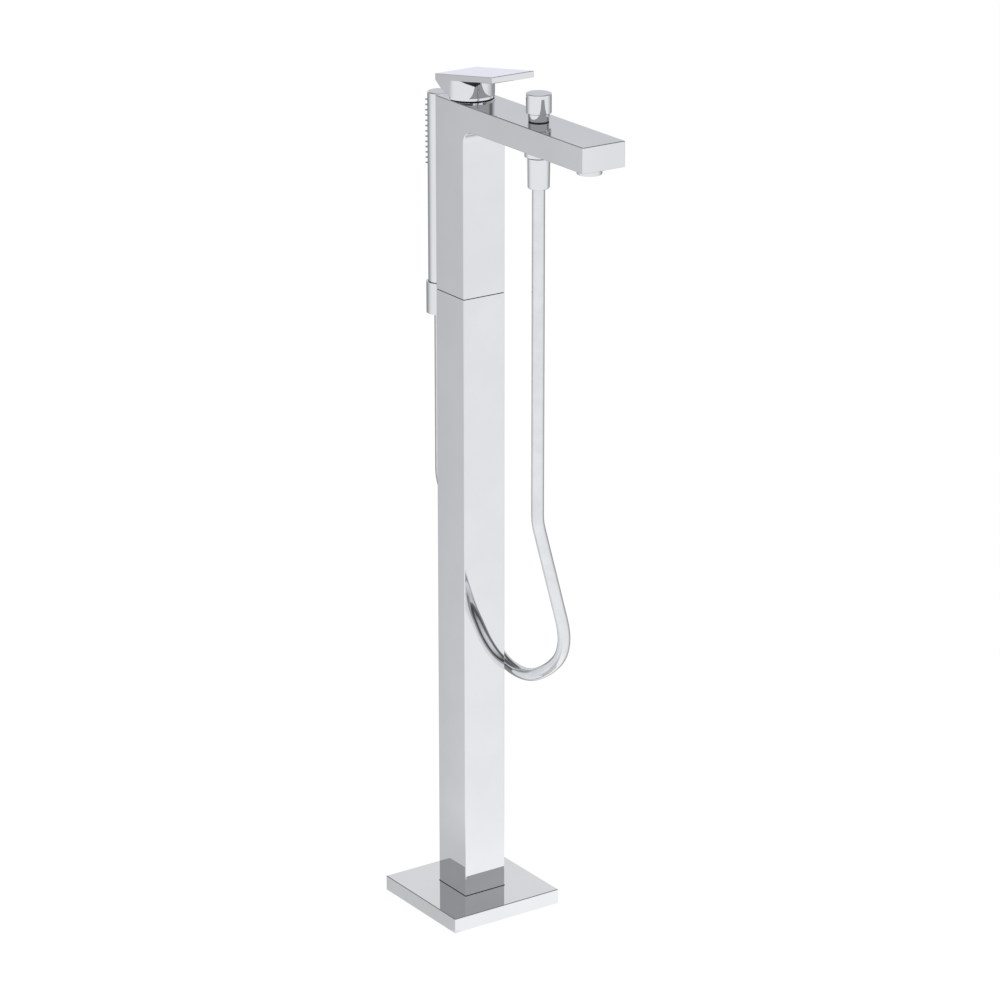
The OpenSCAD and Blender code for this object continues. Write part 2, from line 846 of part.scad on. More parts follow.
// Outline of the dome's outside, grown all round by g
module dome_side(g) {
    r = dome_edge_r + g;
    square([dome_r - dome_edge_r, dome_h + g]);
    square([dome_r + g, dome_h - dome_edge_r]);
    translate([dome_r - dome_edge_r, dome_h - dome_edge_r]) intersection() {
        circle(r);
        square(r);
    }
    square([dome_foot_r + g, washer_t + dome_foot_h + g]);
}

module dome_cap() {
    flare_z = washer_t + dome_foot_h;
    color(chrome)
    translate([0, 0, body_top]) rotate_extrude() difference() {
        union() {
            dome_side(0);
            difference() {
                translate([0, flare_z]) square([dome_r + dome_flare_r, dome_flare_r]);
                translate([dome_r + dome_flare_r, flare_z + dome_flare_r]) circle(dome_flare_r);
            }
        }
        square([dome_foot_r + cut, washer_t]);
        square([nut_collar_r + thread_gap, nut_rise + run_gap]);
        square([dome_hole_r, dome_h + cut]);
    }
}

// Lever

// Height of the plate's underside above the body at a place along Y
function lever_under(y) = lever_back_h - lever_t + lever_fall * (lever_back - y);

// Outline of plate, block and undercut in Y and Z above the body's top face
module lever_side() {
    polygon([[lever_back, lever_back_h], [-lever_front, lever_front_h],
             [-lever_front, lever_front_h - lever_t], [0, lever_under(0)],
             [0, hood_gap + band_h], [undercut_y, undercut_h],
             [lever_back, lever_back_h - lever_t]]);
}

// Plate and block, with rounded outer edges
module lever_blank() {
    bar_h = 2 * lever_front_h;
    length = lever_back + lever_front;
    intersection() {
        along_x(column_w) lever_side();
        translate([0, (lever_back - lever_front) / 2, 0])
            linear_extrude(bar_h) rounded_square(column_w, length, lever_edge_r);
        translate([0, lever_back, lever_back_h]) rotate([-lever_angle, 0, 0])
            translate([0, 0, -bar_h]) along_y(-2 * length, length)
                arched_square(column_w, bar_h, lever_edge_r);
    }
}

// Round front of the block, as wide as the lever, on a bevelled band
module lever_hood() {
    band_top = hood_gap + band_h;
    rotate(180) rotate_extrude(angle = 180) {
        translate([0, band_top]) square([half, hood_h - lever_edge_r - band_top]);
        translate([0, band_top]) square([half - lever_edge_r, hood_h - band_top]);
        translate([half - lever_edge_r, hood_h - lever_edge_r]) intersection() {
            circle(lever_edge_r);
            square(lever_edge_r);
        }
        polygon([[0, hood_gap], [half - band_foot_inset, hood_gap],
                 [half - band_inset, band_top], [half - band_inset, band_top + cut],
                 [0, band_top + cut]]);
    }
}

// Space under the block in which the fixed dome stands, with a roof that rises behind
// the middle so that the tilting lever clears the dome
module dome_pocket() {
    roof = hood_h - hood_roof_t;
    intersection() {
        cylinder(h = lever_front_h, r = dome_r + dome_gap);
        along_x(column_w) polygon([[-half, 0], [half, 0], [half, roof + pocket_rise],
                                   [0, roof], [-half, roof]]);
    }
}

module lever() {
    boss_top_h = lever_under(0) + boss_bury;
    socket_w = stem_w + 2 * thread_gap;
    stem_h = pivot_z + stem_top_h + stem_gap - body_top;
    color(chrome)
    translate([0, 0, body_top]) difference() {
        union() {
            difference() {
                union() {
                    lever_blank();
                    lever_hood();
                }
                dome_pocket();
            }
            translate([0, 0, boss_low_h]) cylinder(h = boss_top_h - boss_low_h, r = boss_r);
        }
        translate([-socket_w / 2, -socket_w / 2, 0]) cube([socket_w, socket_w, stem_h]);
        translate([0, 0, lever_screw_h])
            bar_y(lever_screw_r + thread_gap, -boss_r - cut, 0);
    }
}

module lever_stem() {
    color(steel)
    translate([0, 0, pivot_z]) difference() {
        union() {
            translate([-stem_w / 2, -stem_w / 2, 0]) cube([stem_w, stem_w, stem_top_h]);
            rotate([0, 90, 0]) cylinder(h = stem_w, r = stem_w / 2, center = true);
            translate([0, 0, -stem_drop]) cylinder(h = stem_drop, r = stem_neck_r);
            translate([0, 0, -stem_drop]) sphere(stem_ball_r);
        }
        rotate([0, 90, 0])
            cylinder(h = stem_w + 2 * cut, r = pin_r + thread_gap, center = true);
    }
}

module lever_screw() {
    back = stem_w / 2;
    color(steel)
    translate([0, 0, body_top + lever_screw_h]) mirror([0, 1, 0])
        grub_screw(lever_screw_r, back, back + lever_screw_l);
}

// Diverter

module at_diverter() {
    translate([0, -diverter_reach, 0]) children();
}

module diverter_body() {
    color(chrome)
    at_diverter() difference() {
        union() {
            translate([0, 0, web_z]) cylinder(h = cage_roof - web_z, r = bonnet_r);
            translate([0, 0, cage_roof])
                cylinder(h = collar_h - collar_washer_t + collar_hide, r = collar_r);
        }
        translate([0, 0, web_z - cut]) cylinder(h = web_t + 2 * cut, r = rim_hole_r);
        translate([0, 0, web_z + web_t]) cylinder(h = cage_roof - web_z - web_t, r = cage_r);
        translate([0, 0, cage_roof - cut]) cylinder(h = collar_h + collar_hide + 2 * cut,
                                                   r = stem_r + thread_gap);
        translate([-window_w / 2, -bonnet_r - cut, web_z + web_t])
            cube([window_w, 2 * bonnet_r + 2 * cut, window_h]);
    }
}

module diverter_washer() {
    color(rubber)
    at_diverter() translate([0, 0, body_top])
        ring(collar_r - collar_washer_inset, bonnet_r + 2 * thread_gap, collar_washer_t);
}

module diverter_stem() {
    color(steel)
    at_diverter() translate([0, 0, valve_z + valve_t])
        cylinder(h = knob_z + collar_hide + stem_bury - valve_z - valve_t, r = stem_r);
}

module diverter_valve() {
    color(rubber)
    at_diverter() translate([0, 0, valve_z]) rotate_extrude() {
        square([valve_r - valve_t / 2, valve_t]);
        translate([valve_r - valve_t / 2, valve_t / 2]) circle(valve_t / 2);
    }
}

module diverter_knob() {
    hole_h = collar_hide + run_gap;
    color(chrome)
    at_diverter() translate([0, 0, knob_z]) rotate_extrude() difference() {
        square([knob_r, knob_h]);
        translate([knob_r, knob_h]) corner_cut(knob_edge_r);
        translate([knob_r, 0]) mirror([0, 1]) corner_cut(knob_foot_r);
        translate([0, -cut]) square([collar_r + run_gap, hole_h + cut]);
        square([stem_r + thread_gap, collar_hide + stem_bury + thread_gap]);
    }
}

// Points of one ring of a tube: centre, two directions across the tube and its radius
function ring_points(c, u, v, r, sides) =
    [for (k = [0 : sides - 1]) c + r * (cos(360 * k / sides) * u + sin(360 * k / sides) * v)];

// Triangles of a tube with flat ends
function tube_faces(rings, sides) = concat(
    [for (k = [1 : sides - 2]) [0, k + 1, k]],
    [for (i = [0 : rings - 2], k = [0 : sides - 1]) let (n = (k + 1) % sides)
        each [[i * sides + k, i * sides + n, (i + 1) * sides + n],
              [i * sides + k, (i + 1) * sides + n, (i + 1) * sides + k]]],
    [for (k = [1 : sides - 2])
        [(rings - 1) * sides, (rings - 1) * sides + k, (rings - 1) * sides + k + 1]]
);

module diverter_spring() {
    low = valve_z + valve_t + spring_wire_r;
    high = cage_roof - spring_wire_r;
    rings = spring_turns * spring_steps + 1;
    rise = high - low;
    points = [for (i = [0 : rings - 1])
        let (a = 360 * i / spring_steps, out = [cos(a), sin(a), 0])
            each ring_points(spring_r * out + [0, 0, low + rise * i / (rings - 1)],
                             out, [0, 0, 1], spring_wire_r, spring_sides)];
    color(steel)
    at_diverter() polyhedron(points = points, faces = tube_faces(rings, spring_sides));
}

// Hose outlet under the diverter

module hose_outlet() {
    color(chrome)
    at_diverter() difference() {
        union() {
            translate([0, 0, front_nut_top - nipple_depth])
                cylinder(h = spout_under - front_nut_top + nipple_depth, r = thread_r);
            translate([0, 0, spout_under - outlet_h]) cylinder(h = outlet_h, r = outlet_r);
            translate([0, 0, spout_under - outlet_h])
                cylinder(h = outlet_h + seat_z - spout_under, r = bonnet_r);
        }
        translate([0, 0, front_nut_top - nipple_depth - cut])
            cylinder(h = seat_z - front_nut_top + nipple_depth + 2 * cut, r = outlet_bore_r);
    }
}

module check_valve() {
    color(plastic)
    at_diverter() translate([0, 0, spout_under - outlet_h]) {
        ring(outlet_bore_r - thread_gap, outlet_bore_r / 2, outlet_h);
        cylinder(h = outlet_h / 2, r = outlet_bore_r / 2);
    }
}

// Aerator

module aerator_housing() {
    mouth_r = aerator_r * aerator_mouth_share;
    inner_r = aerator_thread_r - aerator_lip / 2;
    color(chrome)
    translate([0, -aerator_reach, spout_under - aerator_h]) rotate_extrude() difference() {
        union() {
            square([aerator_r, aerator_h]);
            square([aerator_thread_r, aerator_h + aerator_thread_h]);
        }
        translate([aerator_r, 0]) mirror([0, 1]) corner_cut(edge_r);
        translate([0, aerator_lip]) square([inner_r, aerator_h + aerator_thread_h]);
        translate([0, -cut]) square([mouth_r, aerator_h]);
    }
}

module aerator_insert() {
    inner_r = aerator_thread_r - aerator_lip / 2 - thread_gap;
    insert_h = aerator_h + aerator_thread_h - aerator_lip - aerator_washer_t;
    color(plastic)
    translate([0, -aerator_reach, spout_under - aerator_h + aerator_lip]) difference() {
        cylinder(h = insert_h, r = inner_r);
        translate([0, 0, aerator_lip]) cylinder(h = insert_h, r = inner_r - aerator_lip);
        for (q = [0 : mesh_rings], k = [0 : max(0, 6 * q - 1)])
            rotate(q == 0 ? 0 : 60 * k / q) translate([q * mesh_pitch, 0, -cut])
                cylinder(h = aerator_lip + 2 * cut, r = mesh_r, $fn = 16);
    }
}

module aerator_washer() {
    inner_r = aerator_thread_r - aerator_lip / 2 - thread_gap;
    color(rubber)
    translate([0, -aerator_reach, spout_under + aerator_thread_h - aerator_washer_t])
        ring(inner_r, inner_r - aerator_lip, aerator_washer_t);
}

// Hose nuts and what they hold, with the nut's wide end at z = 0

module hose_nut() {
    ledge_z = nut_ledge - hose_nut_h;
    translate([0, 0, -hose_nut_h]) rotate_extrude() difference() {
        polygon([[0, 0], [hose_nut_end_r, 0], [hose_nut_r, hose_nut_h], [0, hose_nut_h]]);
        translate([hose_nut_end_r, 0]) mirror([0, 1]) corner_cut(nut_edge_r);
        translate([0, -cut]) square([hose_r + run_gap, hose_nut_h]);
        translate([0, nut_ledge]) square([ferrule_r + 2 * thread_gap, hose_nut_h]);
        translate([0, hose_nut_h - nut_thread_depth])
            square([thread_r + thread_gap, nut_thread_depth + cut]);
    }
}

module hose_ferrule() {
    translate([0, 0, ferrule_lift + nut_ledge - hose_nut_h])
        ring(ferrule_r, ferrule_r - ferrule_wall, ferrule_l);
}

module hose_washer() {
    translate([0, 0, -nut_thread_depth]) ring(thread_r - thread_gap, outlet_bore_r, hose_washer_t);
}

module at_front_nut() {
    translate([0, -diverter_reach, front_nut_top]) children();
}

module at_rear_nut() {
    translate([0, holder_reach, rear_nut_top]) children();
}

module front_hose_nut() {
    color(chrome) at_front_nut() hose_nut();
}

module front_hose_washer() {
    color(rubber) at_front_nut() hose_washer();
}

module front_hose_ferrule() {
    color(brass) at_front_nut() hose_ferrule();
}

module rear_hose_nut() {
    color(chrome) at_rear_nut() hose_nut();
}

module rear_hose_washer() {
    color(rubber) at_rear_nut() hose_washer();
}

module rear_hose_ferrule() {
    color(brass) at_rear_nut() hose_ferrule();
}

// Hose, swept along its route

function unit(v) = v / norm(v);
function route_last() = len(hose_points) - 1;
// Direction of the hose at a point: along the mean of its two neighbouring runs
function route_dir(i) =
    let (low = max(i - 1, 0), high = min(i + 1, route_last()))
        i == 0 || i == route_last()
            ? unit(hose_points[high] - hose_points[low])
            : unit(unit(hose_points[i] - hose_points[low]) + unit(hose_points[high] - hose_points[i]));
// First direction across the hose, carried along so that the tube does not twist
function route_side(i) =
    i == 0 ? [1, 0, 0]
           : let (s = route_side(i - 1), t = route_dir(i)) unit(s - (s * t) * t);

module shower_hose() {
    rings = len(hose_points);
    points = [for (i = [0 : rings - 1])
        let (t = route_dir(i), s = route_side(i))
            each ring_points(hose_points[i], s, cross(t, s), hose_r, hose_sides)];
    color(braid)
    polyhedron(points = points, faces = tube_faces(rings, hose_sides));
}

// Holder

module at_stick() {
    translate([0, holder_reach, 0]) children();
}

module hose_slot(h) {
    translate([-slot_w / 2, 0, -cut]) cube([slot_w, 2 * cup_r, h + 2 * cut]);
}

module holder() {
    arm_h = cup_h - 2 * arm_inset;
    head_y = holder_reach - cup_bore_r - holder_head_h - holder_head_recess;
    color(chrome)
    difference() {
        union() {
            at_stick() translate([0, 0, holder_top - cup_h]) cylinder(h = cup_h, r = cup_r);
            translate([0, 0, cup_mid]) along_y(half, holder_reach)
                rounded_square(arm_w, arm_h, arm_edge_r);
        }
        at_stick() translate([0, 0, holder_top - cup_h]) {
            translate([0, 0, cup_ledge]) cylinder(h = cup_h, r = cup_bore_r);
            translate([0, 0, -cut]) cylinder(h = cup_h, r = cup_bore_r - cup_ledge_w);
            hose_slot(cup_h);
        }
        for (z = [-1, 1]) translate([0, 0, cup_mid + z * holder_screw_spacing / 2]) {
            bar_y(holder_screw_r + slip_gap, half - cut, holder_reach);
            bar_y(holder_head_r + slip_gap, head_y, holder_reach);
        }
    }
}

module holder_liner() {
    liner_h = cup_h - cup_ledge;
    narrow = hose_nut_r - (hose_nut_r - hose_nut_end_r) * liner_h / hose_nut_h;
    color(plastic)
    at_stick() translate([0, 0, holder_top - liner_h]) difference() {
        cylinder(h = liner_h, r = cup_bore_r - thread_gap);
        cylinder(h = liner_h, r1 = narrow + run_gap, r2 = hose_nut_r + run_gap);
        translate([0, 0, liner_h]) cylinder(h = cut, r = hose_nut_r + run_gap);
        translate([0, 0, -cut]) cylinder(h = cut, r = narrow + run_gap);
        hose_slot(liner_h);
    }
}

module holder_screws() {
    head_y = holder_reach - cup_bore_r - holder_head_h - holder_head_recess;
    color(steel)
    for (z = [-1, 1]) translate([0, 0, cup_mid + z * holder_screw_spacing / 2]) difference() {
        union() {
            bar_y(holder_head_r, head_y, head_y + holder_head_h);
            bar_y(holder_screw_r, head_y - holder_screw_l, head_y + cut);
        }
        translate([0, head_y + holder_head_h + cut, 0]) rotate([90, 0, 0])
            cylinder(h = cut + holder_head_h / 2, r = holder_head_r * socket_share, $fn = 6);
    }
}

// Hand shower, nozzles towards +Y

// Part of a tube around the stick's axis, centred on +Y
module shell_sector(r_in, r_out, half_angle, z_low, z_high) {
    translate([0, 0, z_low]) rotate(90 - half_angle) rotate_extrude(angle = 2 * half_angle)
        translate([r_in, 0]) square([r_out - r_in, z_high - z_low]);
}

// Places its child at every nozzle, pointing outwards along X
module each_nozzle() {
    for (row = [0 : nozzle_rows - 1], col = [0 : nozzle_cols - 1])
        translate([0, 0, stick_top - nozzle_top - row * nozzle_pitch])
            rotate(90 + (col - (nozzle_cols - 1) / 2) * nozzle_angle) children();
}

module handset_shell() {
    shell_h = stick_l - cap_h;
    color(chrome)
    at_stick() difference() {
        translate([0, 0, stick_z]) cylinder(h = shell_h, r = stick_r);
        translate([0, 0, stick_z + stick_floor_t]) cylinder(h = shell_h, r = stick_in_r);
        translate([0, 0, stick_z - cut])
            cylinder(h = stick_floor_t + 2 * cut, r = thread_r + thread_gap);
        shell_sector(stick_in_r - cut, stick_r + cut, plate_half_angle + plate_gap_angle,
                     plate_low - nozzle_gap, plate_top + nozzle_gap);
    }
}

module handset_cap() {
    color(chrome)
    at_stick() translate([0, 0, stick_top - cap_h]) rotate_extrude() {
        difference() {
            square([stick_r, cap_h]);
            translate([stick_r, cap_h]) corner_cut(cap_edge_r);
        }
        translate([0, -cap_spigot_h]) square([stick_in_r - thread_gap, cap_spigot_h + cap_h / 2]);
    }
}

module handset_nipple() {
    low = rear_nut_top - nipple_depth;
    collar_z = stick_z + stick_floor_t;
    color(brass)
    at_stick() difference() {
        union() {
            translate([0, 0, low]) cylinder(h = collar_z - low, r = thread_r);
            translate([0, 0, collar_z]) cylinder(h = nipple_collar_h, r = stick_in_r - 2 * thread_gap);
        }
        translate([0, 0, low - cut])
            cylinder(h = collar_z - low + nipple_collar_h + 2 * cut, r = nipple_bore_r);
    }
}

module handset_waterway() {
    low = stick_z + stick_floor_t + nipple_collar_h;
    high = stick_top - cap_h - cap_spigot_h;
    inner_r = waterway_r - waterway_wall;
    color(plastic)
    at_stick() difference() {
        union() {
            translate([0, 0, low]) cylinder(h = plate_low - low, r = waterway_r);
            translate([0, 0, plate_low]) cylinder(h = high - plate_low, r = chamber_r);
        }
        translate([0, 0, low - cut]) cylinder(h = plate_low - low + 2 * cut + chamber_wall, r = inner_r);
        translate([0, 0, plate_low + chamber_wall])
            cylinder(h = high - plate_low - 2 * chamber_wall, r = chamber_r - chamber_wall);
        shell_sector(inner_r, chamber_r + cut, plate_half_angle - plate_angle_margin,
                     plate_low + chamber_wall, plate_top - chamber_wall);
    }
}

module spray_plate() {
    color(plastic)
    at_stick() difference() {
        shell_sector(stick_in_r, stick_r, plate_half_angle, plate_low, plate_top);
        each_nozzle() rotate([0, 90, 0])
            cylinder(h = stick_r + cut, r = nozzle_base_r + nozzle_gap, $fn = 16);
    }
}

module nozzle_mat() {
    length = stick_r + nozzle_h - stick_in_r + nozzle_bury;
    color(silicone)
    at_stick() {
        shell_sector(stick_in_r - nozzle_gap - mat_t, stick_in_r - nozzle_gap,
                     plate_half_angle - plate_gap_angle, plate_low + nozzle_gap, plate_top - nozzle_gap);
        each_nozzle() translate([stick_in_r - nozzle_bury, 0, 0]) rotate([0, 90, 0])
            cylinder(h = length, r1 = nozzle_base_r, r2 = nozzle_tip_r, $fn = 16);
    }
}

floor_flange();
base_cover();
cover_seal();
column_tube();
foot_screws();
seam_gasket();
coupling_sleeve();
coupling_screws();
mixer_body();
hot_supply_hose();
cold_supply_hose();
supply_nuts();
supply_nipples();
cartridge_housing();
cartridge_base();
cartridge_seals();
fixed_disc();
cartridge_nut();
dome_washer();
dome_cap();
spindle_guide();
pivot_pin();
lever_stem();
lever();
lever_screw();
moving_disc();
disc_driver();
diverter_body();
diverter_washer();
diverter_stem();
diverter_valve();
diverter_knob();
diverter_spring();
hose_outlet();
check_valve();
aerator_housing();
aerator_insert();
aerator_washer();
front_hose_nut();
front_hose_washer();
front_hose_ferrule();
shower_hose();
rear_hose_ferrule();
rear_hose_washer();
rear_hose_nut();
holder();
holder_liner();
holder_screws();
handset_shell();
handset_cap();
handset_nipple();
handset_waterway();
spray_plate();
nozzle_mat();
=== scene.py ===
"""Looks of the floor standing bath filler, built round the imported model. Metres, +Z up,
spout towards -Y, hand shower on +Y."""
import json
import math

import bmesh
import bpy
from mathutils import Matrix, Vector
from mathutils.geometry import interpolate_bezier


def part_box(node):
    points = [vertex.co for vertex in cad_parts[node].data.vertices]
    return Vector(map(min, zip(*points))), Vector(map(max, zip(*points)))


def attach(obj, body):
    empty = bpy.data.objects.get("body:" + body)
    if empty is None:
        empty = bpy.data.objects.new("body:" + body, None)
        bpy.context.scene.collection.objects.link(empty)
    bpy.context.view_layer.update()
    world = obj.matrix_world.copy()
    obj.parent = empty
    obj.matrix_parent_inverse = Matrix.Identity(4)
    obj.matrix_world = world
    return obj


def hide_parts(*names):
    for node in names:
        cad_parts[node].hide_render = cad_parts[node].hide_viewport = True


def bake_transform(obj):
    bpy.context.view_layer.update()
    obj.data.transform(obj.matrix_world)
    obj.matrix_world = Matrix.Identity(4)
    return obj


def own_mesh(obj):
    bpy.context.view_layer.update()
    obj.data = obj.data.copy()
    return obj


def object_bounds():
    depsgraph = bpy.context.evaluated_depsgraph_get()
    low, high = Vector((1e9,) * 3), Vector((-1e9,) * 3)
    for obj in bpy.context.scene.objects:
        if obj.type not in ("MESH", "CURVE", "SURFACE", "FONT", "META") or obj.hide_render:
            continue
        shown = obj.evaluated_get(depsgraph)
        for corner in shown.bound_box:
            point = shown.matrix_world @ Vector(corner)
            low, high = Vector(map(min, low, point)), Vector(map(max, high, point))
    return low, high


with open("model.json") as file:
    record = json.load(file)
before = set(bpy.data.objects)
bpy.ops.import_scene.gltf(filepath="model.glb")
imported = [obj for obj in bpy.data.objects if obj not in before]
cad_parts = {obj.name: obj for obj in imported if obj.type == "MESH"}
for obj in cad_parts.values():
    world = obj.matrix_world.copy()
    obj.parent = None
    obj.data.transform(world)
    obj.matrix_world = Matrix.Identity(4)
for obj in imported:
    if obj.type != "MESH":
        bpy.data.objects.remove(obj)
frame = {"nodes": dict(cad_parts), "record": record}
cad_low, cad_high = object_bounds()
scene = bpy.context.scene

MM_PER_M = 1000


def add_object(name, data):
    made = bpy.data.objects.new(name, data)
    scene.collection.objects.link(made)
    return made


def aim(thing, direction):
    """Turn a camera or a lamp to look along a direction."""
    thing.rotation_mode = "QUATERNION"
    thing.rotation_quaternion = direction.to_track_quat("-Z", "Y")


# Camera: the photograph's viewpoint

CAMERA_AT = (-2.3176, -3.4390, 1.9400)
CAMERA_AZIMUTH = math.radians(-34.4065)
CAMERA_ELEVATION = math.radians(19.559)
CAMERA_LENS = 147.7
CAMERA_SENSOR = 36
CAMERA_CLIP_END = 60


def add_camera():
    data = bpy.data.cameras.new("camera")
    data.lens = CAMERA_LENS
    data.sensor_width = CAMERA_SENSOR
    data.clip_end = CAMERA_CLIP_END
    camera = add_object("camera", data)
    camera.location = CAMERA_AT
    a, e = CAMERA_AZIMUTH, CAMERA_ELEVATION
    aim(camera, Vector((-math.sin(a) * math.cos(e), math.cos(a) * math.cos(e), -math.sin(e))))
    scene.camera = camera


# Shader helpers

# Sockets of a colour mix node, by number because other data types share their names
MIX_FACTOR, MIX_A, MIX_B, MIX_RESULT = 0, 6, 7, 2
NOISE_DETAIL = 3
# The middle part of the noise, which holds nearly all its values
NOISE_SPAN = (0.3, 0.7)
BUMP_DEPTH = 0.0002


def new_material(name):
    material = bpy.data.materials.new(name)
    material.use_nodes = True
    nodes = material.node_tree.nodes
    return material, nodes, material.node_tree.links, nodes["Principled BSDF"]


def add_noise(nodes, links, scale):
    where = nodes.new("ShaderNodeTexCoord")
    noise = nodes.new("ShaderNodeTexNoise")
    noise.inputs["Scale"].default_value = scale
    noise.inputs["Detail"].default_value = NOISE_DETAIL
    links.new(where.outputs["Object"], noise.inputs["Vector"])
    return noise.outputs["Fac"]


def map_range(nodes, links, value, span, to=(0, 1), interpolation="SMOOTHSTEP"):
    """The value's way through the span, as a number between the two ends of to."""
    node = nodes.new("ShaderNodeMapRange")
    node.interpolation_type = interpolation
    for name, number in zip(("From Min", "From Max", "To Min", "To Max"), (*span, *to)):
        node.inputs[name].default_value = number
    links.new(value, node.inputs["Value"])
    return node.outputs["Result"]


def mix_colors(nodes, links, factor, a, b, blend="MIX"):
    """Mix of two colours; each of the three inputs is a socket or a plain value."""
    node = nodes.new("ShaderNodeMix")
    node.data_type = "RGBA"
    node.blend_type = blend
    for number, value in ((MIX_FACTOR, factor), (MIX_A, a), (MIX_B, b)):
        if isinstance(value, bpy.types.NodeSocket):
            links.new(value, node.inputs[number])
        else:
            node.inputs[number].default_value = value
    return node.outputs[MIX_RESULT]


def mix_shaders(nodes, links, factor, a, b):
    node = nodes.new("ShaderNodeMixShader")
    for socket, value in zip(node.inputs, (factor, a, b)):
        links.new(value, socket)
    return node.outputs["Shader"]


def vector_math(nodes, links, operation, a, b=(0, 0, 0)):
    """Vector operation on a socket and, where it takes two, a plain vector."""
    node = nodes.new("ShaderNodeVectorMath")
    node.operation = operation
    node.inputs[1].default_value = b
    links.new(a, node.inputs[0])
    return node


def surface(name, dark, light, rough, scale, metallic=0.0, bump=0.0):
    """Material whose colour and roughness drift between two values over a fine noise."""
    material, nodes, links, shader = new_material(name)
    noise = add_noise(nodes, links, scale)
    color = mix_colors(nodes, links, map_range(nodes, links, noise, NOISE_SPAN),
                       (*dark, 1), (*light, 1))
    links.new(color, shader.inputs["Base Color"])
    links.new(map_range(nodes, links, noise, NOISE_SPAN, rough), shader.inputs["Roughness"])
    shader.inputs["Metallic"].default_value = metallic
    if bump:
        relief = nodes.new("ShaderNodeBump")
        relief.inputs["Strength"].default_value = bump
        relief.inputs["Distance"].default_value = BUMP_DEPTH
        links.new(noise, relief.inputs["Height"])
        links.new(relief.outputs["Normal"], shader.inputs["Normal"])
    return material


# Material of each slot in the record: two colours, two roughnesses and the noise per metre
MATERIALS = {
    "chrome": surface("polished_chrome", (0.83, 0.84, 0.86), (0.86, 0.87, 0.89),
                      (0.015, 0.035), 18, metallic=1),
    "braid": surface("hose_metal", (0.80, 0.81, 0.83), (0.86, 0.87, 0.89),
                     (0.06, 0.11), 60, metallic=1),
    "steel": surface("plain_steel", (0.52, 0.53, 0.55), (0.62, 0.63, 0.65),
                     (0.22, 0.34), 90, metallic=1, bump=0.15),
    "brass": surface("raw_brass", (0.66, 0.50, 0.22), (0.78, 0.63, 0.32),
                     (0.2, 0.32), 70, metallic=1, bump=0.1),
    "rubber": surface("black_rubber", (0.012, 0.012, 0.013), (0.03, 0.03, 0.032),
                      (0.5, 0.7), 240, bump=0.2),
    "plastic": surface("dark_plastic", (0.035, 0.037, 0.042), (0.06, 0.062, 0.07),
                       (0.32, 0.45), 160, bump=0.12),
    "ceramic": surface("disc_ceramic", (0.82, 0.81, 0.78), (0.88, 0.87, 0.84),
                       (0.08, 0.16), 120),
    "silicone": surface("grey_silicone", (0.30, 0.31, 0.33), (0.38, 0.39, 0.41),
                        (0.4, 0.55), 300, bump=0.1),
}


def paint(piece, slot):
    piece.data.materials.clear()
    piece.data.materials.append(MATERIALS[slot])


def dress_nodes():
    for part in frame["record"]["subparts"]:
        paint(frame["nodes"][part["node"]], part["material_slot"])


# Mesh helpers. The outlines of prisms and turned solids are millimetres, from the column's
# middle axis and above the body's top face.

BODY_TOP = 0.9105
# Wider than the turned solids that prisms are combined with
FULL_X = (-30, 30)
BEVEL_FROM_ANGLE = math.radians(12)
SMOOTH_ANGLE = math.radians(35)
# The most that a large face can count for when corner normals are weighed
LARGE_FACE_WEIGHT = 100


def around(steps):
    """Angles of the corners on a circle."""
    return [2 * math.pi * k / steps for k in range(steps)]


def mesh_object(name, work):
    """Object from a bmesh, which is used up."""
    mesh = bpy.data.meshes.new(name)
    work.to_mesh(mesh)
    work.free()
    return add_object(name, mesh)


def closed_object(name, work):
    bmesh.ops.recalc_face_normals(work, faces=work.faces)
    return mesh_object(name, work)


def above_body(x, y, z):
    return Vector((x, y, z)) / MM_PER_M + Vector((0, 0, BODY_TOP))


def side_prism(name, outline, x_low, x_high):
    """Solid along X from an outline in Y and Z."""
    work = bmesh.new()
    ends = [[work.verts.new(above_body(x, y, z)) for y, z in outline] for x in (x_low, x_high)]
    for end in ends:
        work.faces.new(end)
    for i in range(len(outline)):
        n = (i + 1) % len(outline)
        work.faces.new((ends[0][i], ends[0][n], ends[1][n], ends[1][i]))
    return closed_object(name, work)


def turned(name, outline, steps):
    """Solid turned about the upright middle axis; the outline starts and ends on the axis."""
    work = bmesh.new()
    low = work.verts.new(above_body(0, 0, outline[0][1]))
    high = work.verts.new(above_body(0, 0, outline[-1][1]))
    rings = []
    for r, z in outline[1:-1]:
        rings.append([work.verts.new(above_body(r * math.cos(t), r * math.sin(t), z))
                      for t in around(steps)])
    for k in range(steps):
        n = (k + 1) % steps
        work.faces.new((low, rings[0][k], rings[0][n]))
        for a, b in zip(rings, rings[1:]):
            work.faces.new((a[k], b[k], b[n], a[n]))
        work.faces.new((high, rings[-1][n], rings[-1][k]))
    return closed_object(name, work)


def tube(name, line, radius, sides):
    """Round bar along a line of points, smooth along its sides and flat at its ends."""
    work = bmesh.new()
    last = len(line) - 1
    rings, side = [], Vector((1, 0, 0))
    for i, point in enumerate(line):
        ahead = (line[min(i + 1, last)] - line[max(i - 1, 0)]).normalized()
        side = (side - ahead * side.dot(ahead)).normalized()
        across = ahead.cross(side)
        rings.append([
            work.verts.new(point + radius * (math.cos(t) * side + math.sin(t) * across))
            for t in around(sides)
        ])
    for a, b in zip(rings, rings[1:]):
        for k in range(sides):
            n = (k + 1) % sides
            work.faces.new((a[k], a[n], b[n], b[k])).smooth = True
    work.faces.new(list(reversed(rings[0])))
    work.faces.new(rings[-1])
    return mesh_object(name, work)


def bake_modifiers(piece):
    graph = bpy.context.evaluated_depsgraph_get()
    mesh = bpy.data.meshes.new_from_object(piece.evaluated_get(graph))
    piece.modifiers.clear()
    piece.data = mesh


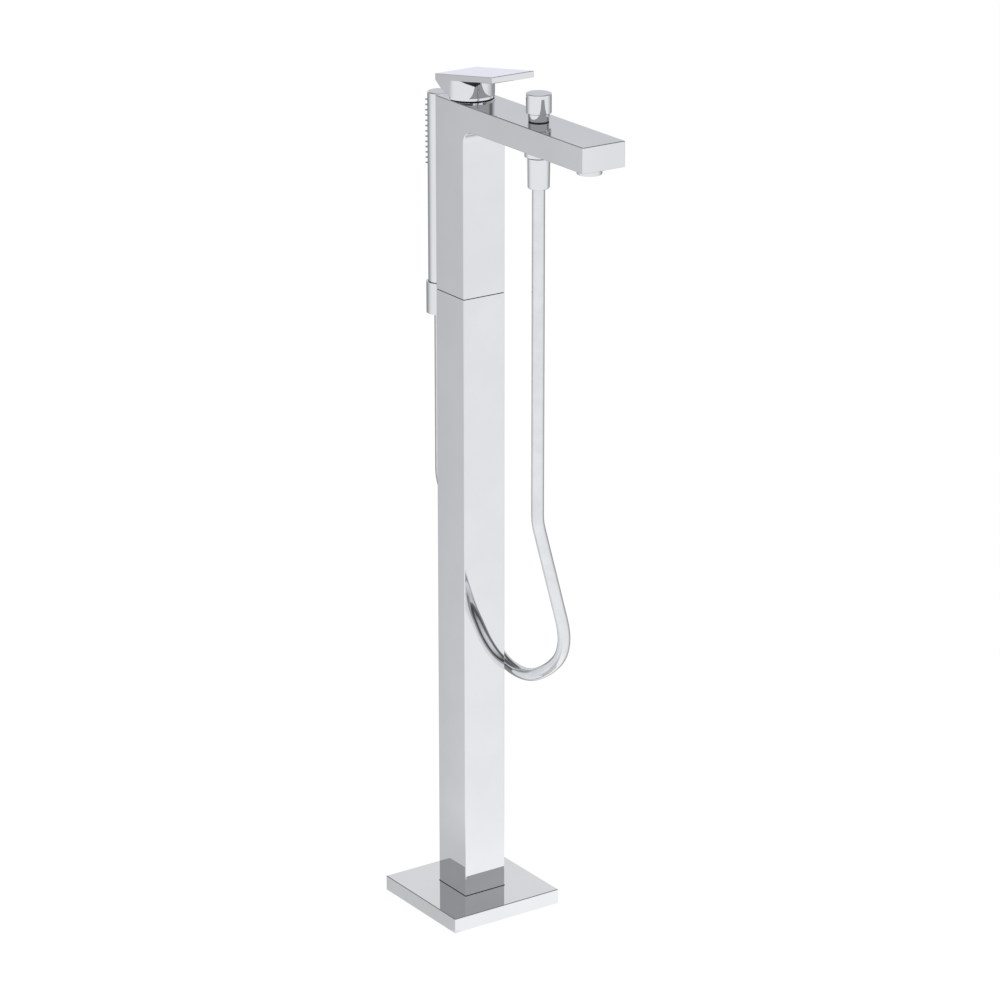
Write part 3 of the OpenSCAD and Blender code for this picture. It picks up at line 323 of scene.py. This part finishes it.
def combine(piece, other, operation):
    """Boolean of two solids, kept in the first one; the second one is used up."""
    modifier = piece.modifiers.new("join", "BOOLEAN")
    modifier.operation = operation
    modifier.solver = "EXACT"
    modifier.object = other
    bake_modifiers(piece)
    bpy.data.objects.remove(other)
    return piece


def bevel(piece, width, segments):
    """Round the edges; the width is in millimetres."""
    modifier = piece.modifiers.new("edges", "BEVEL")
    modifier.width = width / MM_PER_M
    modifier.segments = segments
    modifier.limit_method = "ANGLE"
    modifier.angle_limit = BEVEL_FROM_ANGLE
    bake_modifiers(piece)


def smooth_by_angle(piece):
    """Smooth the roundings and keep the large faces flat."""
    for face in piece.data.polygons:
        face.use_smooth = True
    piece.data.set_sharp_from_angle(angle=SMOOTH_ANGLE)
    modifier = piece.modifiers.new("flat_faces", "WEIGHTED_NORMAL")
    modifier.keep_sharp = True
    modifier.weight = LARGE_FACE_WEIGHT
    bake_modifiers(piece)


def add_black_part(piece, body):
    smooth_by_angle(piece)
    paint(piece, "rubber")
    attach(piece, body)


# Hose, on the route of the CAD tube

HOSE_D = 0.0136
HOSE_ROUTE_MM = [
    (0, -124.5, 846), (0, -124.5, 820), (0, -124.5, 780), (0, -124.5, 740),
    (0, -124.5, 700), (0, -124.5, 660), (0, -124.5, 620), (0, -124.5, 580),
    (0, -124.5, 540), (0, -124.5, 500), (0.5, -124.5, 479), (4.5, -124.5, 462),
    (15, -124.5, 423), (25.5, -124.5, 384), (34, -124, 352), (38, -120, 333),
    (40, -111.5, 315), (40.5, -98.5, 300.5), (39, -80, 286), (38, -58, 275.5),
    (38, -33.5, 272),
    (38, -9, 275.5), (39, 13, 286), (40.5, 31.5, 300.5), (40, 44, 315),
    (38, 52.5, 333), (34, 56.5, 352), (25.5, 57, 384), (15, 57, 423),
    (4.5, 57, 462), (0.5, 57, 479), (0, 57, 500), (0, 57, 540),
    (0, 57, 580), (0, 57, 620), (0, 57, 650), (0, 57, 672),
]
# Steps between two points of the route, and sides of the hose's round section
HOSE_STEPS = 10
HOSE_SIDES = 32


def smooth_route(points, steps):
    """Curve through the points whose tangents lie along each point's two neighbours."""
    last = len(points) - 1
    tangents = []
    for i in range(len(points)):
        before, after = points[max(i - 1, 0)], points[min(i + 1, last)]
        tangents.append((after - before).normalized())
    line = [points[0]]
    for i in range(last):
        reach = (points[i + 1] - points[i]).length / 3
        piece = interpolate_bezier(points[i], points[i] + tangents[i] * reach,
                                   points[i + 1] - tangents[i + 1] * reach,
                                   points[i + 1], steps + 1)
        line.extend(piece[1:])
    return line


def add_hose():
    points = [Vector(p) / MM_PER_M for p in HOSE_ROUTE_MM]
    line = smooth_route(points, HOSE_STEPS)
    hose = tube("shower_hose_sleeve", line, HOSE_D / 2, HOSE_SIDES)
    paint(hose, "braid")
    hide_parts("shower_hose")
    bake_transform(hose)


# Lever: a plate with its block, the round hood under it with a notch in its left side, and a
# flared band round the hood's foot. Lists named _SIDE are outlines seen from the side, pairs
# named _X say how far these reach from left to right, and the other lists are outlines of
# turned solids.

LEVER_HALF = 26
LEVER_SIDE = [(26.4, 23), (-78.6, 39.6), (-79.4, 32.9), (0, 20.37), (0, 3.6), (16.5, 9.6),
              (26.4, 16.2)]
LEVER_BEVEL = 0.7
LEVER_BEVEL_STEPS = 3
HOOD_STEPS = 160
# The hood stays this far inside the block's flat sides, which it would touch otherwise
HOOD_INSET = 0.005
HOOD_R = LEVER_HALF - HOOD_INSET
HOOD = [(0, -1), (HOOD_R, -1), (HOOD_R, 30), (0, 30)]
HOOD_SIDE = [(2, 24), (-27, 28), (-27, 3.6), (0, 3.6), (2, 4.5)]
NOTCH_SIDE = [(-8, 23.5), (-15.9, 21.3), (-18.6, 19.8), (-21.3, 18.5), (-24.2, 16.2),
              (-25.3, 18.4), (-26.4, 19.4), (-27, 30), (-8, 30)]
NOTCH_X = (-30, -4.5)
BAND = [(0, 0.9), (25.8, 0.9), (25.93, 1.05), (25.5, 3.55), (25.35, 3.7), (0, 3.7)]
BAND_SIDE = [(-30, -1), (-1.4, -1), (-1.4, 6), (-30, 6)]
POCKET = [(0, -2), (23, -2), (23, 30), (0, 30)]
POCKET_SIDE = [(-30, -2), (30, -2), (30, 19.7), (0, 12.5), (-30, 12.5)]

# Black ring under the band, which is painted shade in the gap there, and a black sheet in the
# hood's notch, which is painted shade in that recess
GAP_SHADOW_RING = [(0, 0.2), (25.3, 0.2), (25.45, 0.3), (25.45, 0.85), (25.3, 0.95), (0, 0.95)]
NOTCH_SHADE = [(0, 12), (25.4, 12), (25.4, 30), (0, 30)]
NOTCH_SHADE_SIDE = [(-14, 22.1), (-15.9, 21.4), (-18.6, 19.9), (-21.3, 18.6), (-24.2, 16.4),
              (-25.2, 18.5), (-26.3, 19.5), (-26.9, 24.4), (-14, 22.3)]
NOTCH_SHADE_X = (-29, -4.6)


def add_lever():
    lever = side_prism("lever_casting", LEVER_SIDE, -LEVER_HALF, LEVER_HALF)
    bevel(lever, LEVER_BEVEL, LEVER_BEVEL_STEPS)
    hood = combine(side_prism("hood", HOOD_SIDE, *FULL_X),
                   turned("hood_round", HOOD, HOOD_STEPS), "INTERSECT")
    combine(hood, side_prism("notch", NOTCH_SIDE, *NOTCH_X), "DIFFERENCE")
    combine(lever, hood, "UNION")
    band = combine(turned("band", BAND, HOOD_STEPS),
                   side_prism("band_side", BAND_SIDE, *FULL_X), "INTERSECT")
    combine(lever, band, "UNION")
    pocket = combine(turned("pocket", POCKET, HOOD_STEPS),
                     side_prism("pocket_side", POCKET_SIDE, *FULL_X), "INTERSECT")
    combine(lever, pocket, "DIFFERENCE")
    smooth_by_angle(lever)
    paint(lever, "chrome")
    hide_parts("lever")
    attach(lever, "lever_part")


def add_lever_painted_shade():
    # Black ring between the body and the band: painted shade in that gap
    foot_gap_shadow = combine(turned("hood_foot_gap_shadow", GAP_SHADOW_RING, HOOD_STEPS),
                   side_prism("gap_shadow_side", BAND_SIDE, *FULL_X), "INTERSECT")
    combine(foot_gap_shadow, turned("gap_shadow_bore", POCKET, HOOD_STEPS), "DIFFERENCE")
    add_black_part(foot_gap_shadow, "lever_part")
    # Black sheet inside the hood's notch: painted shade in that recess
    notch_shade = combine(side_prism("hood_notch_shade", NOTCH_SHADE_SIDE, *NOTCH_SHADE_X),
                    turned("notch_shade_round", NOTCH_SHADE, HOOD_STEPS), "INTERSECT")
    add_black_part(notch_shade, "lever_part")


# Black bead round the column's foot, on the cover: half its width, and its lowest and highest
# place above the floor, in millimetres

BEAD_INNER = 26.02
BEAD_OUTER = 26.25
BEAD_LOW = 16.52
BEAD_HIGH = 17.05
BEAD_BEVEL = 0.1
BEAD_BEVEL_STEPS = 2
# The hole is cut with a block that reaches this far beyond the bead
BEAD_HOLE_MORE = 1


def square_block(name, half, low, high):
    """Upright block round the column's axis, with heights above the floor."""
    low, high = low - BODY_TOP * MM_PER_M, high - BODY_TOP * MM_PER_M
    return side_prism(name, [(-half, low), (half, low), (half, high), (-half, high)],
                      -half, half)


def add_bead():
    bead = square_block("column_foot_bead", BEAD_OUTER, BEAD_LOW, BEAD_HIGH)
    bevel(bead, BEAD_BEVEL, BEAD_BEVEL_STEPS)
    hole = square_block("bead_hole", BEAD_INNER, BEAD_LOW - BEAD_HOLE_MORE,
                        BEAD_HIGH + BEAD_HOLE_MORE)
    combine(bead, hole, "DIFFERENCE")
    add_black_part(bead, "frame")


# Black ring in the gap between the hose outlet and the nut under it, which is painted shade in
# that gap, turned about the column's axis like the lever's pieces and then moved to the
# diverter's

OUTLET_GAP_SHADOW = [(0, -37.7), (11.75, -37.7), (11.9, -37.55), (11.9, -36.65), (11.75, -36.5),
               (0, -36.5)]
OUTLET_BORE = [(0, -40), (10.4, -40), (10.4, -34), (0, -34)]
OUTLET_STEPS = 96
DIVERTER_Y = -0.1245


def add_outlet_gap_shadow():
    outlet_shadow = combine(turned("outlet_gap_shadow_ring", OUTLET_GAP_SHADOW, OUTLET_STEPS),
                   turned("outlet_shadow_bore", OUTLET_BORE, OUTLET_STEPS), "DIFFERENCE")
    for vertex in outlet_shadow.data.vertices:
        vertex.co.y += DIVERTER_Y
    add_black_part(outlet_shadow, "frame")


# Diverter spring, coiled over the height of the CAD spring

SPRING_R = 0.0046
SPRING_WIRE_R = 0.00045
SPRING_TURNS = 6
SPRING_STEPS = 24
SPRING_SIDES = 10


def add_spring():
    low, high = (Vector(corner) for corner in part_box("diverter_spring"))
    foot, head = low.z + SPRING_WIRE_R, high.z - SPRING_WIRE_R
    count = SPRING_TURNS * SPRING_STEPS
    middle = (low + high) / 2
    line = []
    for i in range(count + 1):
        turn = 2 * math.pi * i / SPRING_STEPS
        line.append(Vector((middle.x + SPRING_R * math.cos(turn),
                            middle.y + SPRING_R * math.sin(turn),
                            foot + (head - foot) * i / count)))
    spring = tube("diverter_spring_coil", line, SPRING_WIRE_R, SPRING_SIDES)
    paint(spring, "steel")
    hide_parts("diverter_spring")
    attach(spring, "frame")
    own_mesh(spring)


# Studio. The camera sees white; metal mirrors tones that are pale in front of the object and
# grey behind it, as seen from the camera. The floor's tones are painted light and shade, a
# glow that only reflected rays see. A tone is a grey or a colour.

WHITE = (1, 1, 1, 1)
# How much bluer than a neutral grey the plain tones are
BLUE_CAST = 1.008

FLOOR_R = 9.0
FLOOR_SIDES = 96
FLOOR_COLOR = (0.86, 0.86, 0.86, 1)
FLOOR_ROUGHNESS = 0.9
# Share of white that hides the lit floor from the camera, and the white's strength
FLOOR_CAMERA_WHITE = 0.9
FLOOR_CAMERA_GLOW = 1.03
# Way behind the object (-1 in front of it, 1 behind) and the painted floor tone that metal
# sees there, painted shade behind
FLOOR_TONES = [(-1.0, 0.9), (-0.26, 0.89), (-0.05, 0.84), (0.17, 0.7), (0.36, 0.6),
               (0.5, 0.41), (0.75, 0.33), (1.0, 0.3)]
# Distance from the object in metres and what the tone there is multiplied with, a painted pool
# of light near the object
FLOOR_FADE = [(0.0, 1.07), (0.3, 1.045), (0.7, 1.02), (1.4, 1.0), (2.6, 0.98), (5.0, 0.97),
              (8.0, 0.87)]
# Close to the cover the painted tones run from its lit front and right sides (-1) to its
# shaded left and rear sides (1), and give way to those above between two distances in metres
NEAR_TONES = [(-1.0, 1.0), (-0.1, 1.0), (0.1, 0.6), (1.0, 0.6)]
NEAR_SPAN = (0.13, 0.3)
LEFT_REAR = (-math.sqrt(0.5), math.sqrt(0.5))

# What dull surfaces get from the world
ROOM_COLOR = (0.9, 0.9, 0.9, 1)
LAVENDER = (0.83, 0.835, 0.93)
SPOUT_GREY = (0.63, 0.638, 0.665)
# Height of a ray (0 level, 1 straight up) and the tone of the sky that metal sees there:
# before, beside and behind the object
SKY_BEFORE = [(-0.1, 0.86), (0.1, 0.86), (0.19, 0.36), (0.3, 0.36), (0.38, 0.42),
              (0.45, 0.42), (0.5, 0.08), (0.72, 0.08), (1.0, 0.9)]
SKY_BESIDE = [(-0.1, 0.6), (0.05, 0.4), (0.17, 0.14), (0.3, 0.14), (0.4, 0.38), (0.47, 0.36),
              (0.56, 0.1), (0.75, 0.12), (1.0, 0.9)]
SKY_BEHIND = [(-0.1, LAVENDER), (0.03, LAVENDER), (0.12, 0.8), (0.24, SPOUT_GREY),
              (0.42, 0.765), (0.46, 0.74), (0.52, 0.16), (0.85, 0.1), (1.0, 0.9)]
# Ways behind the object between which each sky gives way to the next one
BESIDE_SPAN = (0.05, 0.36)
BEHIND_SPAN = (0.4, 1.0)

LAMPS = [
    # name, place, size, power
    ("key", (-1.6, -2.6, 2.6), 1.6, 22),
    ("fill", (2.4, -1.2, 2.2), 1.8, 14),
]


def tone_ramp(nodes, links, value, stops):
    """Ramp of tones over value, from the first stop's place to the last one's."""
    first, last = stops[0][0], stops[-1][0]
    share = map_range(nodes, links, value, (first, last), interpolation="LINEAR")
    ramp = nodes.new("ShaderNodeValToRGB")
    ramp.color_ramp.interpolation = "LINEAR"
    while len(ramp.color_ramp.elements) < len(stops):
        ramp.color_ramp.elements.new(0.5)
    for element, (at, tone) in zip(ramp.color_ramp.elements, stops):
        color = tone if isinstance(tone, tuple) else (tone, tone, tone * BLUE_CAST)
        element.position = (at - first) / (last - first)
        element.color = (*color, 1)
    links.new(share, ramp.inputs["Fac"])
    return ramp.outputs["Color"]


def level_cosine(nodes, links, vector, towards):
    """Cosine of the level angle between a direction and another one in X and Y."""
    level = vector_math(nodes, links, "MULTIPLY", vector, (1, 1, 0)).outputs["Vector"]
    unit = vector_math(nodes, links, "NORMALIZE", level).outputs["Vector"]
    return vector_math(nodes, links, "DOT_PRODUCT", unit, (*towards, 0)).outputs["Value"]


def way_behind(nodes, links, vector):
    """1 for a direction straight behind the object, -1 for one towards the camera's side."""
    return level_cosine(nodes, links, vector,
                        (-math.sin(CAMERA_AZIMUTH), math.cos(CAMERA_AZIMUTH)))


def painted_floor_glow(nodes, links):
    """Painted light and shade that metal sees in the floor, by direction and distance from the
    object.
    """
    place = nodes.new("ShaderNodeTexCoord").outputs["Object"]
    distance = vector_math(nodes, links, "LENGTH", place).outputs["Value"]
    behind = way_behind(nodes, links, place)
    far = mix_colors(nodes, links, 1, tone_ramp(nodes, links, behind, FLOOR_TONES),
                     tone_ramp(nodes, links, distance, FLOOR_FADE), blend="MULTIPLY")
    left = level_cosine(nodes, links, place, LEFT_REAR)
    return mix_colors(nodes, links, map_range(nodes, links, distance, NEAR_SPAN),
                      tone_ramp(nodes, links, left, NEAR_TONES), far)


def floor_material():
    material, nodes, links, shader = new_material("pale_floor")
    shader.inputs["Base Color"].default_value = FLOOR_COLOR
    shader.inputs["Roughness"].default_value = FLOOR_ROUGHNESS
    # The floor's glow for reflected rays only: a painted reflection of light and shade on the
    # floor
    painted_floor_reflection = nodes.new("ShaderNodeEmission")
    links.new(painted_floor_glow(nodes, links), painted_floor_reflection.inputs["Color"])
    white = nodes.new("ShaderNodeEmission")
    white.inputs["Strength"].default_value = FLOOR_CAMERA_GLOW
    path = nodes.new("ShaderNodeLightPath")
    hidden = nodes.new("ShaderNodeMath")
    hidden.operation = "MULTIPLY"
    hidden.inputs[1].default_value = FLOOR_CAMERA_WHITE
    links.new(path.outputs["Is Camera Ray"], hidden.inputs[0])
    shown = mix_shaders(nodes, links, path.outputs["Is Glossy Ray"], shader.outputs["BSDF"],
                        painted_floor_reflection.outputs["Emission"])
    shown = mix_shaders(nodes, links, hidden.outputs["Value"], shown,
                        white.outputs["Emission"])
    links.new(shown, nodes["Material Output"].inputs["Surface"])
    return material


def add_floor():
    work = bmesh.new()
    bmesh.ops.create_circle(work, cap_ends=True, segments=FLOOR_SIDES, radius=FLOOR_R)
    floor = mesh_object("floor", work)
    floor.data.materials.append(floor_material())


def add_world():
    world = bpy.data.worlds.new("studio")
    scene.world = world
    world.use_nodes = True
    nodes, links = world.node_tree.nodes, world.node_tree.links
    direction = nodes.new("ShaderNodeTexCoord").outputs["Generated"]
    split = nodes.new("ShaderNodeSeparateXYZ")
    links.new(direction, split.inputs["Vector"])
    before, beside, behind = (tone_ramp(nodes, links, split.outputs["Z"], stops)
                              for stops in (SKY_BEFORE, SKY_BESIDE, SKY_BEHIND))
    way = way_behind(nodes, links, direction)
    sky = mix_colors(nodes, links, map_range(nodes, links, way, BESIDE_SPAN), before, beside)
    sky = mix_colors(nodes, links, map_range(nodes, links, way, BEHIND_SPAN), sky, behind)
    path = nodes.new("ShaderNodeLightPath")
    shown = mix_colors(nodes, links, path.outputs["Is Glossy Ray"], ROOM_COLOR, sky)
    shown = mix_colors(nodes, links, path.outputs["Is Camera Ray"], shown, WHITE)
    links.new(shown, nodes["Background"].inputs["Color"])


def add_lamps():
    target = (cad_low + cad_high) / 2
    for name, place, size, power in LAMPS:
        data = bpy.data.lights.new(name, "AREA")
        data.shape = "DISK"
        data.size = size
        data.energy = power
        lamp = add_object(name, data)
        lamp.location = place
        lamp.visible_glossy = False
        aim(lamp, target - Vector(place))


add_camera()
dress_nodes()
add_hose()
add_lever()
add_lever_painted_shade()
add_bead()
add_outlet_gap_shadow()
add_spring()
add_floor()
add_world()
add_lamps()
scene.view_settings.view_transform = "Standard"
